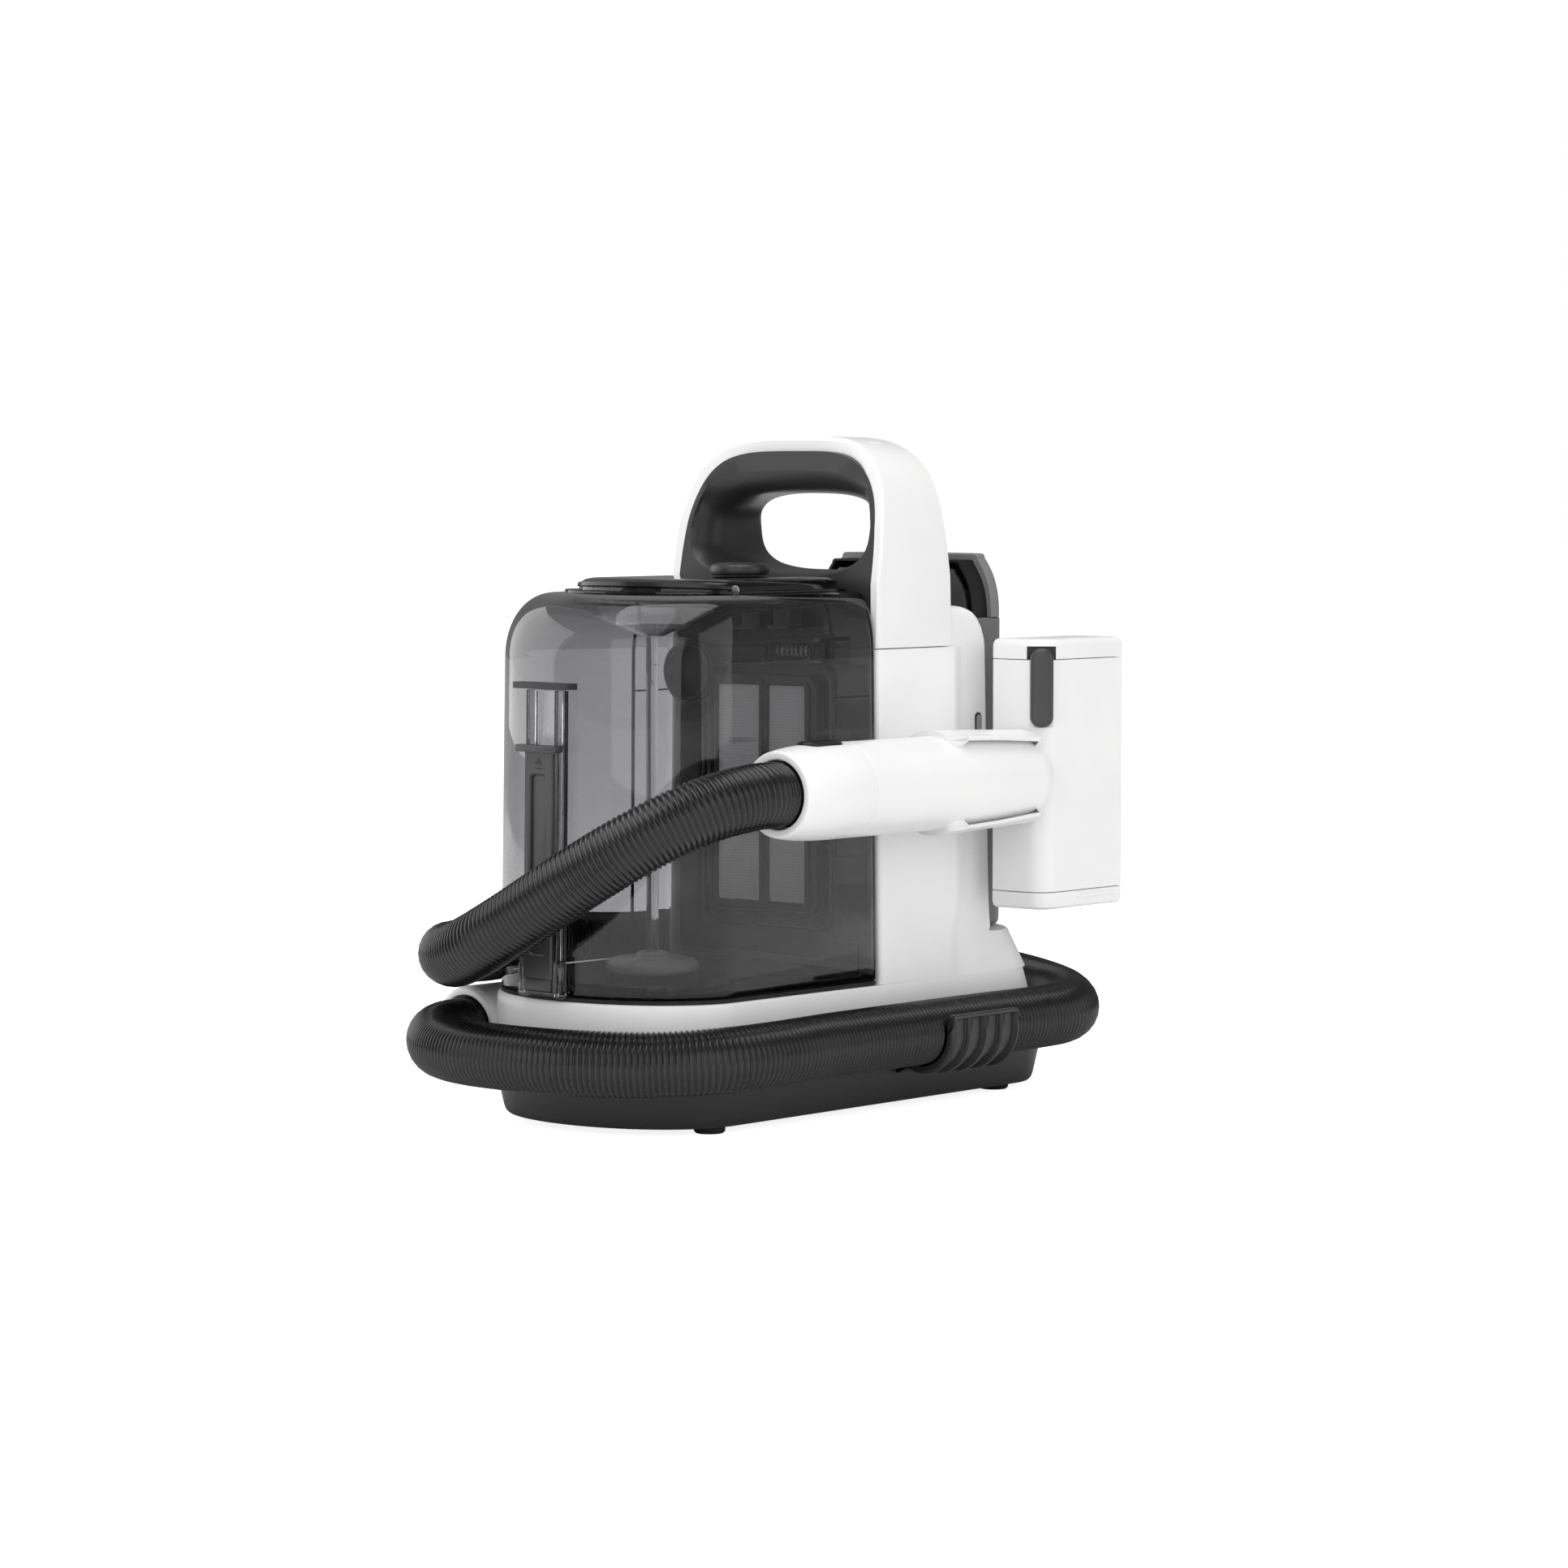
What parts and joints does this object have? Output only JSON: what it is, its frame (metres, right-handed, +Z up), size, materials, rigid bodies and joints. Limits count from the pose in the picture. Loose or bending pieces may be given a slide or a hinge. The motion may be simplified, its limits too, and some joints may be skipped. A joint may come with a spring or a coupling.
{
  "type": "spot extractor",
  "caption": "Portable spot extractor with lift-off clean and dirty water tanks, carrying handle, corrugated hose, and a wand with a powered cleaning head held in a side bracket.",
  "frame": {"origin": "centre of the bottom of the machine's box, measured without the hose, on the floor", "axes": "+X to the machine's right, where the wand hangs; +Y to its back; +Z up"},
  "size_m": [0.2336, 0.4013, 0.3285],
  "materials": {
    "white_plastic": "satin",
    "dark_plastic": "fine grain",
    "grip_plastic": "soft touch",
    "smoky_plastic": "polished, see-through",
    "hose_plastic": "corrugated",
    "foot_rubber": "plain",
    "filter_mesh": "fine mesh",
    "steel": "brushed",
    "fan_metal": "machined",
    "circuit_board": "lacquered"
  },
  "bodies": {
    "machine": {"base_plinth": "dark_plastic", "foot_front_right": "foot_rubber", "foot_front_left": "foot_rubber", "foot_rear_right": "foot_rubber", "foot_rear_left": "foot_rubber", "plinth_screw": "steel", "power_cable_gland": "foot_rubber", "main_housing": "white_plastic", "front_panel": "dark_plastic", "exhaust_grille": "dark_plastic", "handle_housing": "white_plastic", "grip_insert": "grip_plastic", "wand_grip": "white_plastic", "wand_tube": "white_plastic", "wand_bracket": "white_plastic", "head_body": "white_plastic", "head_foot_cap": "white_plastic", "head_motor": "steel", "drive_belt": "foot_rubber", "hose": "hose_plastic", "hose_port": "white_plastic", "hose_clip_right": "dark_plastic", "hose_clip_left": "dark_plastic", "suction_motor": "steel", "motor_mount": "foot_rubber", "fan_housing": "dark_plastic", "fan_seal": "foot_rubber", "suction_duct": "dark_plastic", "pump_body": "dark_plastic", "pump_inlet_tube": "foot_rubber", "pump_outlet_tube": "foot_rubber", "control_board": "circuit_board"},
    "power_button": {"power_button": "white_plastic"},
    "wand_button": {"wand_button": "dark_plastic"},
    "dirty_tank": {"tank_shell": "smoky_plastic", "inlet_funnel": "smoky_plastic", "float_rod": "smoky_plastic", "filter_frame": "dark_plastic", "filter_screen_left": "filter_mesh", "filter_screen_right": "filter_mesh", "suction_port": "dark_plastic", "catch_housing": "smoky_plastic", "catch_spring": "steel", "slider_guide": "smoky_plastic", "slider_stop": "dark_plastic"},
    "tank_lid": {"tank_lid": "smoky_plastic", "lid_seal": "foot_rubber"},
    "lid_knob": {"lid_knob": "dark_plastic"},
    "tank_float": {"tank_float": "smoky_plastic"},
    "release_slider": {"release_slider": "dark_plastic"},
    "clean_tank": {"clean_tank": "dark_plastic", "clean_tank_valve": "foot_rubber", "clean_tank_hood": "dark_plastic", "clean_tank_cap": "dark_plastic"},
    "fan_impeller": {"fan_impeller": "fan_metal"},
    "head_cap": {"head_end_cap": "white_plastic"},
    "head_latch": {"head_latch": "dark_plastic"},
    "brush_roller": {"brush_roller": "dark_plastic", "roller_pulley": "dark_plastic"},
    "motor_pulley": {"motor_pulley": "steel"}
  },
  "joints": [
    {"name": "power_button_press", "type": "slide", "parent": "machine", "child": "power_button", "axis": [-0.2672, 0, -0.9636], "range_m": [0, 0.0012], "stiffness_N_per_m": 900},
    {"name": "wand_button_press", "type": "slide", "parent": "machine", "child": "wand_button", "axis": [0, 0, -1], "range_m": [0, 0.0018], "stiffness_N_per_m": 800},
    {"name": "dirty_tank_lift", "type": "slide", "parent": "machine", "child": "dirty_tank", "axis": [0, 0, 1], "range_m": [0, 0.2]},
    {"name": "tank_lid_lift", "type": "slide", "parent": "dirty_tank", "child": "tank_lid", "axis": [0, 0, 1], "range_m": [0, 0.05]},
    {"name": "lid_knob_turn", "type": "hinge", "parent": "tank_lid", "child": "lid_knob", "pos_m": [-0.00105, -0.0253, 0.264], "axis": [0, 0, 1], "range_deg": [0, 90]},
    {"name": "float_rise", "type": "slide", "parent": "dirty_tank", "child": "tank_float", "axis": [0, 0, 1], "range_m": [0, 0.15]},
    {"name": "release_slide", "type": "slide", "parent": "dirty_tank", "child": "release_slider", "axis": [0.001, 0.0139, 0.9999], "range_m": [0, 0.026], "stiffness_N_per_m": 60},
    {"name": "clean_tank_lift", "type": "slide", "parent": "machine", "child": "clean_tank", "axis": [0, 0, 1], "range_m": [0, 0.15]},
    {"name": "fan_spin", "type": "hinge", "parent": "machine", "child": "fan_impeller", "pos_m": [-0.00105, 0.0457, 0.168], "axis": [0, 0, 1], "continuous": true},
    {"name": "head_cap_lift", "type": "slide", "parent": "machine", "child": "head_cap", "axis": [0, 0, 1], "range_m": [0, 0.03]},
    {"name": "head_latch_swing", "type": "hinge", "parent": "machine", "child": "head_latch", "pos_m": [0.10251, 0.08215, 0.2215], "axis": [-0.7547, -0.6561, 0], "range_deg": [0, 30]},
    {"name": "brush_spin", "type": "hinge", "parent": "machine", "child": "brush_roller", "pos_m": [0.08995, 0.1337, 0.16], "axis": [0, 0, 1], "continuous": true},
    {"name": "motor_pulley_spin", "type": "hinge", "parent": "machine", "child": "motor_pulley", "pos_m": [0.08995, 0.1017, 0.108], "axis": [0, 0, 1], "continuous": true}
  ],
  "couplings": [
    {"joint": "motor_pulley_spin", "follows": "brush_spin", "ratio": 1.4}
  ]
}
